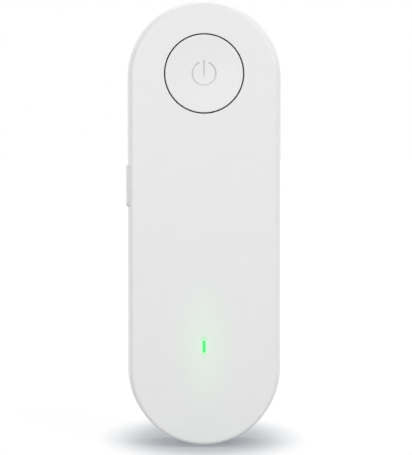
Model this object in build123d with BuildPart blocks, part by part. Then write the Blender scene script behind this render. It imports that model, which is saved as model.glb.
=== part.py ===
from build123d import *
from math import cos, radians, sin, sqrt, tan
import os

# Wall-plug mesh wifi node, in millimetres.
#
# A slim pill-shaped unit that hangs on a mains outlet by its two blades. The round push button
# switches it on, the slot below glows when it is linked, the key on the left edge pairs it with
# its neighbours, and the jack in the lower end takes a network lead.
#
# Frame: the origin is on the wall face, midway between the mains blades. +Z is up, -Y points into
# the room and +X is to the right of someone who looks at the front. A "depth" is a distance in
# front of the wall face, so depth 5 is at Y = -5. A "drop" is a distance below the casing's top,
# and a "rise" is one above its bottom unless its comment names something else.

# ---------------------------------------------------------------- driving sizes: casing
body_width = 50.0
body_height = 145.0
body_depth = 30.0
plug_rise = 93.0  # bottom of the casing up to the midpoint between the blades
parting_depth = 14.0  # where the two shells meet
front_draft = 4.5  # degrees
rear_draft = 2.0  # degrees
front_edge_radius = 1.1
rear_edge_radius = 1.6
side_wall = 2.0
front_wall = 2.0
rear_wall = 2.0
seam_step = 0.15  # the rear shell is this much smaller all round at the seam
seam_chamfer = 0.2
lip_height = 1.5
lip_thickness = 0.9
lip_gap = 0.1

# ---------------------------------------------------------------- driving sizes: power button
button_drop = 24.05
cap_radius = 12.5
cap_thickness = 2.0
cap_gap = 0.42  # all round, between the cap and the hole in the front shell
cap_edge_radius = 0.25
hole_edge_radius = 0.2
dish_depth = 0.6
dish_land = 0.7  # flat rim left round the dish
button_travel = 0.5
carrier_thickness = 1.2
carrier_gap = 0.2  # between the carrier and the guide sleeve
stem_radius = 3.0
sleeve_wall = 1.3
sleeve_length = 3.4  # behind the front wall
hook_count = 3
hook_start = 90.0  # degrees, to the middle of the first hook
hook_angle = 24.0  # degrees that each hook takes of the circle
hook_thickness = 1.2
hook_height = 1.1
hook_reach = 0.8
hook_gap = 0.1
peg_circle = 8.0
peg_radius = 1.0
peg_gap = 0.05
peg_head_radius = 1.6
peg_head_height = 0.5
symbol_radius = 3.78
symbol_line = 0.42
symbol_cut = 0.3
symbol_opening = 50.0  # degrees left open at the top of the symbol's ring
symbol_bar_top = 4.33
symbol_bar_bottom = -0.9

# ---------------------------------------------------------------- driving sizes: status light
light_rise = 33.0
light_length = 4.0
light_width = 1.0
light_gap = 0.03
pipe_flange_margin = 1.2
pipe_flange_thickness = 0.8
pipe_stem_margin = 0.7
pipe_air_gap = 0.2
led_width = 2.0
led_length = 3.0
led_height = 0.9

# ---------------------------------------------------------------- driving sizes: pairing key
key_drop = 60.2
key_length = 13.7
key_width = 3.6
key_proud = 0.25  # beyond the widest line of the casing
key_gap = 0.15
key_stop_gap = 0.1
key_travel = 0.3
key_edge_radius = 0.3
key_flange_margin = 0.7
key_flange_thickness = 0.8

# ---------------------------------------------------------------- driving sizes: tact switches
power_switch_side = 6.0
power_switch_height = 3.5
power_plunger_radius = 1.7
power_plunger_proud = 0.8
pairing_switch_width = 4.0
pairing_switch_length = 6.0
pairing_switch_height = 4.6
pairing_switch_inset = 0.7  # from the main board's edge
pairing_plunger_length = 3.0
pairing_plunger_width = 1.6
reset_boss_gap = 0.6  # between the switch and the notch round the lower boss
reset_switch_width = 3.6
reset_switch_length = 2.8
reset_switch_height = 2.6
reset_switch_inset = 0.2  # from the main board's edge
reset_plunger_radius = 0.6
reset_plunger_proud = 0.9
reset_travel = 0.25
reset_hole_radius = 0.8
plunger_gap = 0.1
plunger_hidden = 0.9  # length of a plunger inside its switch
plunger_room = 0.2  # left under a plunger that is pushed right in
leg_width = 0.8
leg_pitch = 1.2
leg_length = 0.9
leg_thickness = 0.25

# ---------------------------------------------------------------- driving sizes: mains plug
blade_spacing = 12.7
blade_width = 6.35
blade_thickness = 1.52
blade_length = 17.0  # beyond the wall face
blade_tip_chamfer = 0.5
blade_hole_radius = 1.55
blade_hole_reach = 11.7  # wall face to the hole in the blade
blade_fit = 0.05
tail_width = 3.0
tail_length = 3.0
insert_width = 27.0
insert_height = 19.0
insert_corner = 5.0
insert_gap = 0.1
insert_sunk = 0.3  # below the wall face
insert_flange_margin = 1.6
insert_flange_thickness = 1.6
tower_margin = 1.5
tower_length = 3.4  # beyond the insert's flange
clip_thickness = 0.5
clip_width = 5.0
clip_overlap = 2.4  # of a clip's leaves along a blade's tail

# ---------------------------------------------------------------- driving sizes: fasteners
boss_radius = 3.3
boss_in_wall = 0.1  # a boss runs this far into the side wall
boss_top_angle = 45.0  # degrees above the horizontal, round the upper arc's centre
boss_bottom_angle = 35.0  # degrees below the horizontal, round the lower arc's centre
boss_split_depth = 16.0  # where the front and rear bosses meet
boss_end_gap = 0.1
screw_radius = 1.25
screw_head_radius = 2.3
screw_head_height = 1.7
screw_length = 13.0
screw_seat_depth = 10.0
screw_gap = 0.05
screw_tip_room = 1.0  # left in front of a casing screw's tip
counterbore_gap = 0.3
cross_length = 2.6
cross_width = 0.7
cross_cut = 1.0
small_screw_radius = 0.9
small_head_radius = 1.8
small_head_height = 1.2
small_screw_length = 5.0
small_cross_length = 2.0
small_cross_width = 0.5
small_cross_cut = 0.7
post_radius = 2.25
head_edge_radius = 0.4
tip_chamfer = 0.4

# ---------------------------------------------------------------- driving sizes: boards
board_thickness = 1.2
main_board_depth = 19.5  # its rear face
main_board_drop = 15.0  # to the top edge
main_board_gap = 2.0  # between its edge and the casing's inside
main_post_inset = 2.4  # a post's centre from the board's edge
main_post_drop = 22.0  # to the upper posts
main_post_rise = 23.5  # to the lower posts
notch_gap = 0.5  # between the board and the lower bosses
supply_depth = 13.0  # the supply board's rear face
supply_edge_gap = 4.0  # between its sides and the casing's inside
supply_reach_up = 22.0  # above the blades
supply_reach_down = 46.0  # below the blades
supply_corner = 1.5
supply_post_inset = 2.6
supply_post_rise = 3.5  # a post's centre from the board's upper or lower edge
sheet_thickness = 0.3
sheet_margin = 0.8  # the insulating sheet stops this short of the supply board's edge
sheet_hole_gap = 0.5
header_width = 14.0
header_height = 5.0
header_rise = 7.0  # its middle above the supply board's lower edge
header_pin_count = 6
header_pin_pitch = 2.0
header_pin_side = 0.5
header_pin_proud = 0.8  # in front of the main board

# ---------------------------------------------------------------- driving sizes: network jack
jack_width = 15.6
jack_height = 12.4
jack_length = 17.6
jack_inset = 1.9  # the jack's mouth is this far above the casing's lowest point
jack_shield_thickness = 0.25
jack_shield_gap = 0.05
jack_hole_gap = 0.35
socket_width = 11.9
socket_height = 6.9
socket_reach = 12.6
latch_width = 6.4
latch_height = 2.2
contact_count = 8
contact_pitch = 1.02
contact_radius = 0.22
contact_lift = 1.7  # how far a contact stands into the socket
contact_start = 1.6  # behind the mouth
contact_end = 9.6  # behind the mouth

# ---------------------------------------------------------------- driving sizes: cooling
sink_gap_supply = 2.0  # below the supply board
sink_gap_jack = 1.5  # above the jack
sink_base = 1.5
sink_fin_count = 9
sink_fin_thickness = 0.9
sink_fin_end_depth = 5.0
sink_leg_radius = 1.9
sink_leg_gap = 1.1  # between a leg and the lid of the processor's can
sink_leg_inset = 2.0  # a leg's centre from the sink's side
pad_thickness = 0.9
pad_inset = 2.0
chip_pad_inset = 1.0

# ---------------------------------------------------------------- driving sizes: shields and chips
can_wall = 0.25
can_height = 1.8
can_rim = 1.0  # width of a frame's inward rim
lid_thickness = 0.2
lid_skirt = 1.2
lid_gap = 0.05
processor_can_width = 25.0
processor_can_height = 20.0
processor_side = 13.0
processor_x = -4.5
processor_thickness = 1.1
memory_width = 7.0
memory_height = 8.0
memory_thickness = 1.0
memory_x = 7.4
memory_pitch = 9.0
radio_can_gap = 1.7  # between the can and the antennas
radio_can_height = 19.0
radio_can_drop = 49.0
radio_side = 9.0
radio_thickness = 0.9
amplifier_side = 3.0
amplifier_thickness = 0.8
amplifier_pitch_x = 17.0
amplifier_pitch_z = 9.0
flash_width = 8.0
flash_height = 6.0
flash_thickness = 1.4
flash_x = -7.0
network_chip_side = 7.0
network_chip_thickness = 0.9
network_chip_x = 7.5
chip_row_drop = 71.5  # to the flash and network chips
crystal_width = 3.2
crystal_height = 2.5
crystal_thickness = 0.8
crystal_gap = 2.4  # between it and the network chip
coil_side = 5.0
coil_height = 3.0
coil_pitch = 9.0
coil_count = 3
coil_drop = 86.0
magnetics_width = 12.6
magnetics_height = 9.0
magnetics_thickness = 4.0
magnetics_rise = 4.5  # its centre above the middle of the jack
ceramic_length = 1.6
ceramic_width = 0.8
ceramic_pitch = 3.0
ceramic_count = 10
ceramic_drops = (64.6, 78.5)
chip_bevel = 0.12

# ---------------------------------------------------------------- driving sizes: antennas
antenna_width = 4.4
antenna_length = 15.0
antenna_inset = 1.0  # from the main board's edge
antenna_height = 4.3
antenna_sheet = 0.3
antenna_foot = 1.2
antenna_slot_width = 0.8
antenna_slot_inset = 1.5
antenna_upper_drop = 48.0
antenna_lower_rise = 12.7  # above the middle of the heat sink

# ---------------------------------------------------------------- driving sizes: supply parts
core_width = 15.0
core_height = 14.0
core_thickness = 4.8
core_leg = 4.0
core_side = 2.2
core_yoke = 2.4
core_standoff = 2.4  # between the core and the supply board
core_x = -9.3
core_drop_below = 25.0  # its centre below the blades
winding_thickness = 2.6
winding_depth = 8.8
winding_corner = 1.5
winding_gap = 0.1
bobbin_rail = 2.0
bulk_radius = 4.1
bulk_length = 14.0
bulk_x = 5.6
bulk_pitch = 8.6
bulk_below = 25.0
bulk_groove = 0.35
lead_side = 0.6
lead_reach = 1.4
output_radius = 3.15
output_height = 8.5
output_pitch = 8.0
output_below = 39.0
groove_width = 0.8
filter_width = 13.0
filter_height = 5.5
filter_depth = 8.5
filter_above = 15.6
choke_radius = 3.4
choke_neck_radius = 2.3
choke_height = 7.0
choke_flange = 1.0
choke_x = -10.8
choke_gap = 0.3  # between it and the fuse
varistor_radius = 3.5
varistor_thickness = 3.2
varistor_x = 12.2
varistor_above = 14.0
varistor_standoff = 0.8
fuse_width = 4.0
fuse_height = 8.4
fuse_depth = 7.4
fuse_x = -13.2
fuse_above = 5.0
rectifier_width = 4.8
rectifier_height = 6.4
rectifier_thickness = 2.5
rectifier_x = -13.2
rectifier_below = 7.0
controller_width = 4.0
controller_height = 5.0
controller_thickness = 1.6
controller_x = 13.0
controller_below = 3.0

# ---------------------------------------------------------------- driving sizes: vents and label
vent_count = 7
vent_pitch = 3.2
vent_height = 1.5
vent_start_depth = 3.6
vent_length = 7.0
rear_vent_count = 4
rear_vent_width = 16.0
rear_vent_drop = 28.0
label_width = 30.0
label_height = 20.0
label_corner = 2.0
label_drop = 84.0
label_recess = 0.2
label_thickness = 0.15
label_gap = 0.15

# ---------------------------------------------------------------- places that follow from the sizes
bottom_z = -plug_rise
top_z = bottom_z + body_height
middle_z = (top_z + bottom_z) / 2
top_arc_z = top_z - body_width / 2
bottom_arc_z = bottom_z + body_width / 2
front_inside = body_depth - front_wall
cavity_width = body_width - 2 * side_wall
cavity_height = body_height - 2 * side_wall
main_front = main_board_depth + board_thickness
supply_front = supply_depth + board_thickness


def level(depth, x=0.0, z=0.0):
    """A plane parallel to the wall face at a depth. Its X and Y run along +X and +Z."""
    return Plane(origin=(x, -depth, z), x_dir=(1, 0, 0), z_dir=(0, -1, 0))


def front_half_width(depth, inward=0.0):
    """The front shell's half width at a depth, less a distance inward from its outer face."""
    return body_width / 2 - (depth - parting_depth) * tan(radians(front_draft)) - inward


button_z = top_z - button_drop
hole_radius = cap_radius + cap_gap
cap_rear = body_depth - cap_thickness
carrier_rear = cap_rear - carrier_thickness
carrier_radius = hole_radius - carrier_gap
sleeve_end = front_inside - sleeve_length
dish_radius = cap_radius - dish_land
dish_ball_radius = (dish_radius**2 + dish_depth**2) / (2 * dish_depth)
power_plunger_top = main_front + power_switch_height + power_plunger_proud

light_z = bottom_z + light_rise
led_top = main_front + led_height

boss_circle = body_width / 2 - side_wall - boss_radius + boss_in_wall
boss_top_x = boss_circle * cos(radians(boss_top_angle))
boss_top_z = top_arc_z + boss_circle * sin(radians(boss_top_angle))
boss_bottom_x = boss_circle * cos(radians(boss_bottom_angle))
boss_bottom_z = bottom_arc_z - boss_circle * sin(radians(boss_bottom_angle))
bosses_bottom = [(side * boss_bottom_x, boss_bottom_z) for side in (-1, 1)]
boss_places = [(side * boss_top_x, boss_top_z) for side in (-1, 1)] + bosses_bottom

main_half_width = front_half_width(main_board_depth, side_wall + main_board_gap)
main_top_z = top_z - main_board_drop
main_post_x = main_half_width - main_post_inset
main_post_levels = (top_z - main_post_drop, bottom_z + main_post_rise)
main_post_places = [(side * main_post_x, z) for z in main_post_levels for side in (-1, 1)]

supply_half_width = body_width / 2 - side_wall - supply_edge_gap
supply_middle_z = (supply_reach_up - supply_reach_down) / 2
supply_height = supply_reach_up + supply_reach_down
supply_post_x = supply_half_width - supply_post_inset
supply_post_levels = (supply_reach_up - supply_post_rise, supply_post_rise - supply_reach_down)
supply_post_places = [(side * supply_post_x, z) for z in supply_post_levels for side in (-1, 1)]
header_z = header_rise - supply_reach_down

key_z = top_z - key_drop
key_depth = main_front + pairing_switch_height / 2
key_outer_x = -body_width / 2 - key_proud
key_flange_depth = key_depth + key_width / 2 + key_flange_margin
key_flange_x = key_stop_gap - front_half_width(key_flange_depth, side_wall)
key_inner_x = key_flange_x + key_flange_thickness
pairing_switch_x = -main_half_width + pairing_switch_inset

reset_depth = main_front + reset_switch_height / 2
reset_x = boss_bottom_x - boss_radius - notch_gap - reset_boss_gap - reset_switch_width / 2
reset_corner_x = reset_x + reset_switch_width / 2
reset_mouth_z = bottom_arc_z - sqrt(main_half_width**2 - reset_corner_x**2) + reset_switch_inset

jack_mouth_z = bottom_z + jack_inset
jack_top_z = jack_mouth_z + jack_length
jack_depth = main_board_depth - jack_height / 2  # of the jack's middle
jack_shell = jack_shield_thickness + jack_shield_gap
jack_hole_width = jack_width + 2 * (jack_shell + jack_hole_gap)
jack_hole_height = jack_height + 2 * (jack_shell + jack_hole_gap)

sink_top_z = -supply_reach_down - sink_gap_supply
sink_bottom_z = jack_top_z + sink_gap_jack
sink_z = (sink_top_z + sink_bottom_z) / 2
sink_front = main_board_depth - can_height - lid_thickness - pad_thickness
sink_leg_x = processor_can_width / 2 + lid_gap + lid_thickness + sink_leg_gap + sink_leg_radius
sink_width = 2 * (sink_leg_x + sink_leg_inset)
sink_fin_pitch = (sink_width - sink_fin_thickness) / (sink_fin_count - 1)
sink_leg_places = [(side * sink_leg_x, sink_z) for side in (-1, 1)]
radio_can_width = 2 * (main_half_width - antenna_inset - antenna_width - radio_can_gap)
radio_z = top_z - radio_can_drop

blade_places = [side * blade_spacing / 2 for side in (-1, 1)]
tower_end = rear_wall + insert_flange_thickness + tower_length
tail_end = tower_end + tail_length
label_z = top_z - label_drop


def write(piece, name):
    """Labels a finished piece and writes it as the node of that name."""
    piece.part.label = name
    export_step(piece.part, f"parts/{name}.step")


def block(width, height, near, far, x=0.0, z=0.0):
    """A plate parallel to the wall face, between two depths."""
    with BuildPart() as plate:
        with BuildSketch(level(near, x, z)):
            Rectangle(width, height)
        extrude(amount=far - near)
    return plate.part


def chip(width, height, thickness, face, way, x=0.0, z=0.0):
    """A moulded chip on a board's face. Way is 1 towards the room and -1 towards the wall."""
    with BuildPart() as body:
        with BuildSketch(level(face, x, z)):
            Rectangle(width, height)
        extrude(amount=way * thickness)
        outer = body.faces().sort_by(Axis.Y)[0 if way > 0 else -1]
        chamfer(outer.edges(), chip_bevel)
    return body.part


def legs(width, face, way, x, z, pitch, rows):
    """Gull-wing feet that lie on a board's face, on both sides of a body of the given width."""
    with BuildPart() as feet:
        with BuildSketch(level(face, x, z)):
            with GridLocations(width + leg_length, pitch, 2, rows):
                Rectangle(leg_length, leg_width)
        extrude(amount=way * leg_thickness)
    return feet.part


def screw(seat, way, radius, length, head_radius, head_height, cross, width, cut):
    """A pan-head screw whose head seats at a depth. Way is 1 when its tip points to the room."""
    with BuildPart() as body:
        with BuildSketch(level(seat)):
            Circle(radius)
        extrude(amount=way * length)
        chamfer(body.faces().sort_by(Axis.Y)[0 if way > 0 else -1].edges(), tip_chamfer)
        with BuildSketch(level(seat)):
            Circle(head_radius)
        extrude(amount=-way * head_height)
        fillet(body.faces().sort_by(Axis.Y)[-1 if way > 0 else 0].edges(), head_edge_radius)
        with BuildSketch(level(seat - way * head_height)):
            Rectangle(cross, width)
            Rectangle(width, cross)
        extrude(amount=way * cut, mode=Mode.SUBTRACT)
    return body.part


def small_screw(seat, way):
    """One of the short screws that hold the boards and the heat sink."""
    return screw(
        seat, way, small_screw_radius, small_screw_length, small_head_radius,
        small_head_height, small_cross_length, small_cross_width, small_cross_cut,
    )


os.makedirs("parts", exist_ok=True)

# ================================================================ front shell
# Injection-moulded front cover: drafted walls, a tongue that enters the rear shell, the guide
# sleeve of the button, the bosses for the casing screws and the posts that carry the main board.
with BuildPart() as front_shell:
    with BuildSketch(level(parting_depth, z=middle_z)):
        SlotOverall(body_height, body_width, rotation=90)
    extrude(amount=body_depth - parting_depth, taper=front_draft)
    fillet(front_shell.faces().sort_by(Axis.Y)[0].edges(), front_edge_radius)
    with BuildSketch(level(parting_depth, z=middle_z)):
        SlotOverall(cavity_height, cavity_width, rotation=90)
    extrude(amount=front_inside - parting_depth, taper=front_draft, mode=Mode.SUBTRACT)

    # tongue round the seam
    tongue = 2 * lip_thickness
    with BuildSketch(level(parting_depth - lip_height, z=middle_z)):
        SlotOverall(cavity_height + tongue, cavity_width + tongue, rotation=90)
        SlotOverall(cavity_height, cavity_width, rotation=90, mode=Mode.SUBTRACT)
    extrude(amount=lip_height)

    # guide sleeve and hole for the power button
    with BuildSketch(level(sleeve_end, z=button_z)):
        Circle(hole_radius + sleeve_wall)
    extrude(amount=sleeve_length)
    with BuildSketch(level(sleeve_end, z=button_z)):
        Circle(hole_radius)
    extrude(amount=body_depth - sleeve_end, mode=Mode.SUBTRACT)
    fillet(front_shell.faces().sort_by(Axis.Y)[0].inner_wires()[0].edges(), hole_edge_radius)

    # slot for the status light
    with BuildSketch(level(front_inside, z=light_z)):
        SlotOverall(light_length, light_width, rotation=90)
    extrude(amount=front_wall, mode=Mode.SUBTRACT)

    # bosses for the casing screws, and posts for the main board
    with BuildSketch(level(boss_split_depth + boss_end_gap)):
        with Locations(*boss_places):
            Circle(boss_radius)
    extrude(amount=front_inside - boss_split_depth - boss_end_gap)
    with BuildSketch(level(main_front)):
        with Locations(*main_post_places):
            Circle(post_radius)
    extrude(amount=front_inside - main_front)
    with BuildSketch(level(boss_split_depth)):
        with Locations(*boss_places):
            Circle(screw_radius + screw_gap)
    screw_hole_end = screw_seat_depth + screw_length + screw_tip_room
    extrude(amount=screw_hole_end - boss_split_depth, mode=Mode.SUBTRACT)
    with BuildSketch(level(main_front)):
        with Locations(*main_post_places):
            Circle(small_screw_radius + screw_gap)
    extrude(amount=small_screw_length, mode=Mode.SUBTRACT)

    # slot for the pairing key in the left wall
    with BuildSketch(Plane.YZ.offset(key_outer_x)):
        with Locations((-key_depth, key_z)):
            SlotOverall(key_length + 2 * key_gap, key_width + 2 * key_gap, rotation=90)
    extrude(amount=key_inner_x - key_outer_x, mode=Mode.SUBTRACT)

    # pinhole over the reset switch, and the front part of the mouth for the jack
    with BuildSketch(Plane.XY.offset(bottom_z)):
        with Locations((reset_x, -reset_depth)):
            Circle(reset_hole_radius)
    extrude(amount=reset_mouth_z - bottom_z, mode=Mode.SUBTRACT)
    with BuildSketch(Plane.XY.offset(bottom_z)):
        with Locations((0, -jack_depth)):
            Rectangle(jack_hole_width, jack_hole_height)
    extrude(amount=jack_length / 2, mode=Mode.SUBTRACT)
write(front_shell, "front_shell")

# ================================================================ rear shell
# Rear cover that lies on the wall: a rebate for the tongue, an opening for the plug insert, deep
# counterbores for the casing screws, posts for the supply board, vents and a label recess.
with BuildPart() as rear_shell:
    with BuildSketch(level(parting_depth, z=middle_z)):
        SlotOverall(body_height - 2 * seam_step, body_width - 2 * seam_step, rotation=90)
    extrude(amount=-parting_depth, taper=rear_draft)
    fillet(rear_shell.faces().sort_by(Axis.Y)[-1].edges(), rear_edge_radius)
    chamfer(rear_shell.faces().sort_by(Axis.Y)[0].edges(), seam_chamfer)
    with BuildSketch(level(parting_depth, z=middle_z)):
        SlotOverall(cavity_height, cavity_width, rotation=90)
    extrude(amount=rear_wall - parting_depth, taper=rear_draft, mode=Mode.SUBTRACT)

    # bosses for the casing screws, and posts for the supply board
    with BuildSketch(level(rear_wall)):
        with Locations(*boss_places):
            Circle(boss_radius)
    extrude(amount=boss_split_depth - rear_wall)
    with BuildSketch(level(rear_wall)):
        with Locations(*supply_post_places):
            Circle(post_radius)
    extrude(amount=supply_depth - rear_wall)
    with BuildSketch(level(0)):
        with Locations(*boss_places):
            Circle(screw_head_radius + counterbore_gap)
    extrude(amount=screw_seat_depth, mode=Mode.SUBTRACT)
    with BuildSketch(level(0)):
        with Locations(*boss_places):
            Circle(screw_radius + screw_gap)
    extrude(amount=boss_split_depth, mode=Mode.SUBTRACT)
    with BuildSketch(level(supply_depth)):
        with Locations(*supply_post_places):
            Circle(small_screw_radius + screw_gap)
    extrude(amount=-small_screw_length, mode=Mode.SUBTRACT)

    # rebate for the front shell's tongue, and room beside the bosses for the front shell's wall
    rebate = 2 * (lip_thickness + lip_gap)
    with BuildSketch(level(parting_depth - lip_height - lip_gap, z=middle_z)):
        SlotOverall(cavity_height + rebate, cavity_width + rebate, rotation=90)
        SlotOverall(cavity_height, cavity_width, rotation=90, mode=Mode.SUBTRACT)
    extrude(amount=lip_height + lip_gap, mode=Mode.SUBTRACT)
    trim = 2 * (front_half_width(boss_split_depth, side_wall) - lip_gap) - cavity_width
    with BuildSketch(level(parting_depth, z=middle_z)):
        SlotOverall(body_height, body_width, rotation=90)
        SlotOverall(cavity_height + trim, cavity_width + trim, rotation=90, mode=Mode.SUBTRACT)
    extrude(amount=boss_split_depth - parting_depth, mode=Mode.SUBTRACT)

    # opening for the plug insert, vents and label recess in the back
    with BuildSketch(level(0)):
        RectangleRounded(insert_width, insert_height, insert_corner)
        with Locations((0, top_z - rear_vent_drop)):
            with GridLocations(0, vent_pitch, 1, rear_vent_count):
                SlotOverall(rear_vent_width, vent_height)
    extrude(amount=rear_wall, mode=Mode.SUBTRACT)
    with BuildSketch(level(0, z=label_z)):
        RectangleRounded(label_width, label_height, label_corner)
    extrude(amount=label_recess, mode=Mode.SUBTRACT)

    # vents through both side walls, beside the heat sink
    with BuildSketch(Plane.YZ):
        with Locations((-vent_start_depth - vent_length / 2, sink_z)):
            with GridLocations(0, vent_pitch, 1, vent_count):
                SlotOverall(vent_length, vent_height)
    extrude(amount=body_width / 2, both=True, mode=Mode.SUBTRACT)

    # rear part of the mouth for the jack
    with BuildSketch(Plane.XY.offset(bottom_z)):
        with Locations((0, -jack_depth)):
            Rectangle(jack_hole_width, jack_hole_height)
    extrude(amount=jack_length / 2, mode=Mode.SUBTRACT)
write(rear_shell, "rear_shell")

# ================================================================ blank rating label
# Film stuck in the recess on the back, left bare.
with BuildPart() as rating_label:
    with BuildSketch(level(label_recess - label_thickness, z=label_z)):
        RectangleRounded(
            label_width - 2 * label_gap, label_height - 2 * label_gap, label_corner - label_gap
        )
    extrude(amount=label_thickness)
write(rating_label, "rating_label")

# ================================================================ screws
casing_screw = screw(
    screw_seat_depth, 1, screw_radius, screw_length, screw_head_radius,
    screw_head_height, cross_length, cross_width, cross_cut,
)
with BuildPart() as casing_screws:
    for x, z in boss_places:
        add(casing_screw.moved(Location((x, 0, z))))
write(casing_screws, "casing_screws")

with BuildPart() as main_board_screws:
    for x, z in main_post_places:
        add(small_screw(main_board_depth, 1).moved(Location((x, 0, z))))
write(main_board_screws, "main_board_screws")

with BuildPart() as supply_board_screws:
    for x, z in supply_post_places:
        add(small_screw(supply_front, -1).moved(Location((x, 0, z))))
write(supply_board_screws, "supply_board_screws")

with BuildPart() as heat_sink_screws:
    for x, z in sink_leg_places:
        add(small_screw(main_front, -1).moved(Location((x, 0, z))))
write(heat_sink_screws, "heat_sink_screws")

# ================================================================ power button
# Cap: a dished disc with the on-off symbol cut into it, staked to the carrier by three pegs.
with BuildPart() as button_cap:
    with BuildSketch(level(cap_rear, z=button_z)):
        Circle(cap_radius)
    extrude(amount=cap_thickness)
    fillet(button_cap.faces().sort_by(Axis.Y)[0].edges(), cap_edge_radius)
    with Locations((0, dish_depth - body_depth - dish_ball_radius, button_z)):
        Sphere(dish_ball_radius, mode=Mode.SUBTRACT)
    symbol_edge = 2 * symbol_radius * tan(radians(symbol_opening / 2))
    symbol_end_x = symbol_radius * sin(radians(symbol_opening / 2))
    symbol_end_z = symbol_radius * cos(radians(symbol_opening / 2))
    with BuildSketch(level(body_depth, z=button_z)):
        Circle(symbol_radius + symbol_line / 2)
        Circle(symbol_radius - symbol_line / 2, mode=Mode.SUBTRACT)
        with BuildLine():
            Polyline(
                (0, 0), (-symbol_edge, 2 * symbol_radius), (symbol_edge, 2 * symbol_radius), close=True
            )
        make_face(mode=Mode.SUBTRACT)
        with Locations((-symbol_end_x, symbol_end_z), (symbol_end_x, symbol_end_z)):
            Circle(symbol_line / 2)
        with Locations((0, (symbol_bar_top + symbol_bar_bottom) / 2)):
            SlotOverall(symbol_bar_top - symbol_bar_bottom, symbol_line, rotation=90)
    extrude(amount=-dish_depth - symbol_cut, mode=Mode.SUBTRACT)
    with BuildSketch(level(carrier_rear, z=button_z)):
        with PolarLocations(peg_circle, hook_count, start_angle=-hook_start):
            Circle(peg_radius)
    extrude(amount=carrier_thickness)
    with BuildSketch(level(carrier_rear - peg_head_height, z=button_z)):
        with PolarLocations(peg_circle, hook_count, start_angle=-hook_start):
            Circle(peg_head_radius)
    extrude(amount=peg_head_height)
write(button_cap, "button_cap")

# Carrier: a disc that slides in the sleeve, with a stem on the switch and hooks that stop it.
catch_front = sleeve_end - hook_gap
catch_rear = catch_front - hook_height
with BuildPart() as button_carrier:
    with BuildSketch(level(carrier_rear, z=button_z)):
        Circle(carrier_radius)
        with PolarLocations(peg_circle, hook_count, start_angle=-hook_start):
            Circle(peg_radius + peg_gap, mode=Mode.SUBTRACT)
    extrude(amount=carrier_thickness)
    with BuildSketch(level(power_plunger_top, z=button_z)):
        Circle(stem_radius)
    extrude(amount=carrier_rear - power_plunger_top)
    for reach, near, far in (
        (carrier_radius, catch_rear, carrier_rear),
        (hole_radius + hook_reach, catch_rear, catch_front),
    ):
        with BuildSketch(level(near, z=button_z)):
            for number in range(hook_count):
                start = hook_start + number * 360 / hook_count - hook_angle / 2
                with BuildLine():
                    rim = CenterArc((0, 0), reach, start, hook_angle)
                    Line((0, 0), rim @ 0)
                    Line((0, 0), rim @ 1)
                make_face()
            Circle(carrier_radius - hook_thickness, mode=Mode.SUBTRACT)
        extrude(amount=far - near)
write(button_carrier, "button_carrier")

with BuildPart() as power_switch:
    add(
        block(
            power_switch_side, power_switch_side, main_front, main_front + power_switch_height,
            z=button_z,
        )
    )
    add(legs(power_switch_side, main_front, 1, 0, button_z, power_switch_side - 2 * leg_width, 2))
    with BuildSketch(level(main_front + power_switch_height, z=button_z)):
        Circle(power_plunger_radius + plunger_gap)
    extrude(amount=-plunger_hidden - button_travel - plunger_room, mode=Mode.SUBTRACT)
write(power_switch, "power_switch")

with BuildPart() as power_plunger:
    with BuildSketch(level(main_front + power_switch_height - plunger_hidden, z=button_z)):
        Circle(power_plunger_radius)
    extrude(amount=plunger_hidden + power_plunger_proud)
write(power_plunger, "power_plunger")

# ================================================================ status light
# Clear pipe: fills the slot in the front wall, with a flange behind it and a stem to the lamp.
with BuildPart() as light_pipe:
    with BuildSketch(level(led_top + pipe_air_gap, z=light_z)):
        SlotOverall(light_length + 2 * pipe_stem_margin, light_width + 2 * pipe_stem_margin, rotation=90)
    extrude(amount=front_inside - led_top - pipe_air_gap)
    with BuildSketch(level(front_inside - pipe_flange_thickness, z=light_z)):
        SlotOverall(light_length + 2 * pipe_flange_margin, light_width + 2 * pipe_flange_margin, rotation=90)
    extrude(amount=pipe_flange_thickness)
    with BuildSketch(level(front_inside, z=light_z)):
        SlotOverall(light_length - 2 * light_gap, light_width - 2 * light_gap, rotation=90)
    extrude(amount=front_wall)
write(light_pipe, "light_pipe")

with BuildPart() as status_lamp:
    add(chip(led_width, led_length, led_height, main_front, 1, 0, light_z))
write(status_lamp, "status_lamp")

# ================================================================ pairing key
# Slim key in the left wall. Its flange stays inside and bears on the plunger of its switch.
with BuildPart() as pairing_key:
    with BuildSketch(Plane.YZ.offset(key_outer_x)):
        with Locations((-key_depth, key_z)):
            SlotOverall(key_length, key_width, rotation=90)
    extrude(amount=key_inner_x - key_outer_x)
    fillet(pairing_key.faces().sort_by(Axis.X)[0].edges(), key_edge_radius)
    with BuildSketch(Plane.YZ.offset(key_flange_x)):
        with Locations((-key_depth, key_z)):
            SlotOverall(
                key_length + 2 * key_flange_margin, key_width + 2 * key_flange_margin, rotation=90
            )
    extrude(amount=key_flange_thickness)
write(pairing_key, "pairing_key")

with BuildPart() as pairing_switch:
    with BuildSketch(level(main_front, pairing_switch_x + pairing_switch_width / 2, key_z)):
        Rectangle(pairing_switch_width, pairing_switch_length)
    extrude(amount=pairing_switch_height)
    with BuildSketch(Plane.YZ.offset(pairing_switch_x)):
        with Locations((-key_depth, key_z)):
            Rectangle(pairing_plunger_width + 2 * plunger_gap, pairing_plunger_length + 2 * plunger_gap)
    extrude(amount=plunger_hidden + key_travel + plunger_room, mode=Mode.SUBTRACT)
write(pairing_switch, "pairing_switch")

with BuildPart() as pairing_plunger:
    with BuildSketch(Plane.YZ.offset(key_inner_x)):
        with Locations((-key_depth, key_z)):
            Rectangle(pairing_plunger_width, pairing_plunger_length)
    extrude(amount=pairing_switch_x + plunger_hidden - key_inner_x)
write(pairing_plunger, "pairing_plunger")

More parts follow.
